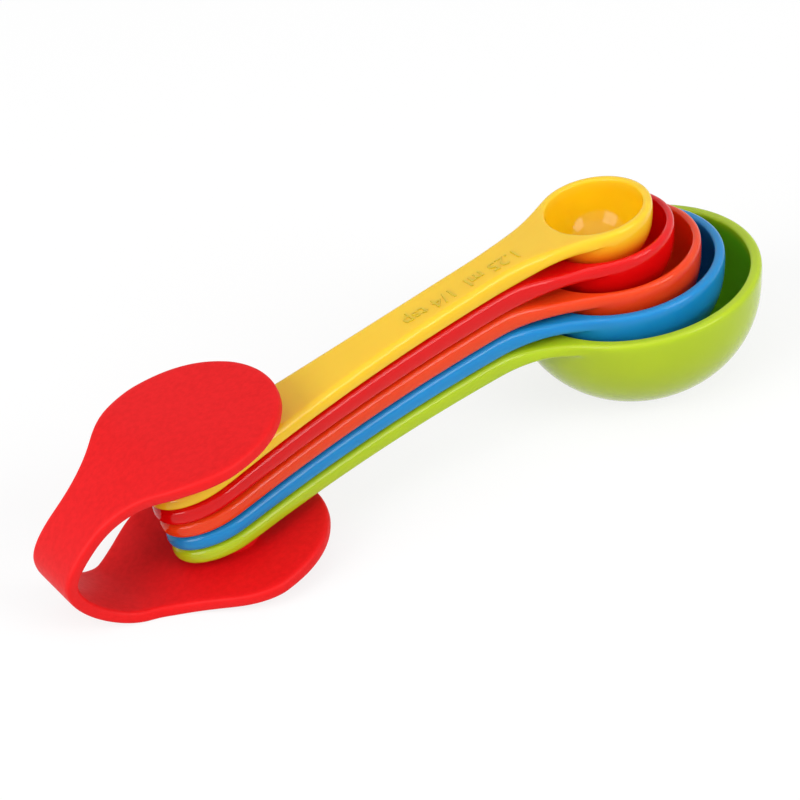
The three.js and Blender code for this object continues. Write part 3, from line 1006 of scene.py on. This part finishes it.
# The CAD nodes get the finish that the record names for them
slots = {part["node"]: part["material_slot"] for part in frame["record"]["subparts"]}
coated = [(piece, piece["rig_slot"]) for piece in
          [*spoons.values(), *numbers.values(), *strap, strap_post, strap_socket]]
coated += [(node, slots[node.name]) for node in frame["nodes"].values()]
for piece, slot in coated:
    piece.data.materials.clear()
    piece.data.materials.append(finishes[slot])
print("finished", len(coated), "pieces and nodes")

# %% [markdown]
# ## Table, lamps and camera
# The photograph is a plain studio picture on white. Where the camera looks, both the table and the
# background are white, and the table only keeps a little of the set's shadow. The light that they
# throw on the set is weaker.

# %% Table and background
CARD, CARD_SEEN = 0.86, 0.8
AIR_LIGHT, AIR_SEEN = 0.38, 1.0
WHITE = (1, 1, 1, 1)


def seen_share(tree):
    """1 where the camera, a reflection or clear plastic looks, 0 where light only falls."""
    paths = tree.nodes.new("ShaderNodeLightPath")
    share = paths.outputs["Is Camera Ray"]
    for kind in ("Is Glossy Ray", "Is Transmission Ray"):
        more = tree.nodes.new("ShaderNodeMath")
        more.operation, more.use_clamp = "ADD", True
        tree.links.new(share, more.inputs[0])
        tree.links.new(paths.outputs[kind], more.inputs[1])
        share = more.outputs[0]
    return share


def table_finish():
    finish = Finish("table")
    seen = Wire(finish, seen_share(finish.tree))
    white = finish.node("ShaderNodeEmission", {}, {"Color": WHITE, "Strength": 1.0})
    card = finish.node("ShaderNodeBsdfDiffuse", {},
                       {"Color": (CARD, CARD, CARD, 1), "Roughness": 1.0})
    sockets = {0: seen * CARD_SEEN, 1: card, 2: white}
    return finish.end(finish.node("ShaderNodeMixShader", {}, sockets))


bm = bmesh.new()
bmesh.ops.create_grid(bm, x_segments=1, y_segments=1, size=3)
table = object_of("table", bm)
table.data.materials.append(table_finish())

world = bpy.data.worlds.new("studio")
bpy.context.scene.world = world
world.use_nodes = True
air = world.node_tree
air.nodes.clear()
mix, out = air.nodes.new("ShaderNodeMixShader"), air.nodes.new("ShaderNodeOutputWorld")
air.links.new(seen_share(air), mix.inputs[0])
for socket, strength in ((1, AIR_LIGHT), (2, AIR_SEEN)):
    sky = air.nodes.new("ShaderNodeBackground")
    sky.inputs["Color"].default_value = WHITE
    sky.inputs["Strength"].default_value = strength
    air.links.new(sky.outputs[0], mix.inputs[socket])
air.links.new(mix.outputs[0], out.inputs["Surface"])
print("table and background: light", AIR_LIGHT, "where they aren't seen")

# %% [markdown]
# Two softboxes stand low, one to each side of the camera. Their places come from the two bright
# windows that the photograph shows in the smallest bowl, mirrored back out of its curved inside.
# A wide panel hangs overhead and lights the tops and the bowls' insides. It is about as bright as
# the white around it, so it doesn't show in the gloss.

# %% Lamps
LIT_PLACE = Vector((0.03, 0, 0.03))


def softbox(name, heading, rise, distance, size, power):
    """A lamp that looks at the set from this compass heading and height, both in degrees."""
    light = bpy.data.lights.new(name, "AREA")
    light.shape, light.size, light.size_y, light.energy = "RECTANGLE", size[0], size[1], power
    holder = bpy.data.objects.new(name, light)
    bpy.context.scene.collection.objects.link(holder)
    a, b = radians(heading), radians(rise)
    away = Vector((sin(a) * cos(b), cos(a) * cos(b), sin(b)))
    holder.location = LIT_PLACE + away * distance
    holder.rotation_euler = away.to_track_quat("Z", "Y").to_euler()
    print(name, "at", [round(c, 2) for c in holder.location])


softbox("right_softbox", 161, 28, 0.8, (0.42, 0.5), 3.1)
softbox("left_softbox", -99, 24, 0.8, (0.5, 0.52), 3.5)
softbox("overhead_panel", -140, 66, 0.9, (1.0, 1.0), 2.8)

# %% [markdown]
# The camera was fitted to the five rims, the handles' lines and the strap's outline. It looks from
# the front left, from above, and a little tilted.

# %% Camera
CAMERA_PLACE = (-0.161240, -0.262572, 0.204870)
yaw, pitch, tilt = radians(34.158826), radians(28.140713), radians(6.5)
turn = Matrix.Rotation(tilt, 3, "Y")
ahead = turn @ Vector((sin(yaw) * cos(pitch), cos(yaw) * cos(pitch), -sin(pitch)))
right = turn @ Vector((cos(yaw), -sin(yaw), 0))
above = right.cross(ahead)
lens = bpy.data.cameras.new("camera")
lens.sensor_width, lens.lens = 36, 101.587
lens.clip_start, lens.clip_end = 0.01, 20
camera = bpy.data.objects.new("camera", lens)
bpy.context.scene.collection.objects.link(camera)
facing = Matrix((right, above, -ahead)).transposed().to_4x4()
camera.matrix_world = Matrix.Translation(CAMERA_PLACE) @ facing
bpy.context.scene.camera = camera
bpy.context.scene.view_settings.view_transform = "Standard"
print("camera at", CAMERA_PLACE, "with a lens of", lens.lens, "mm")
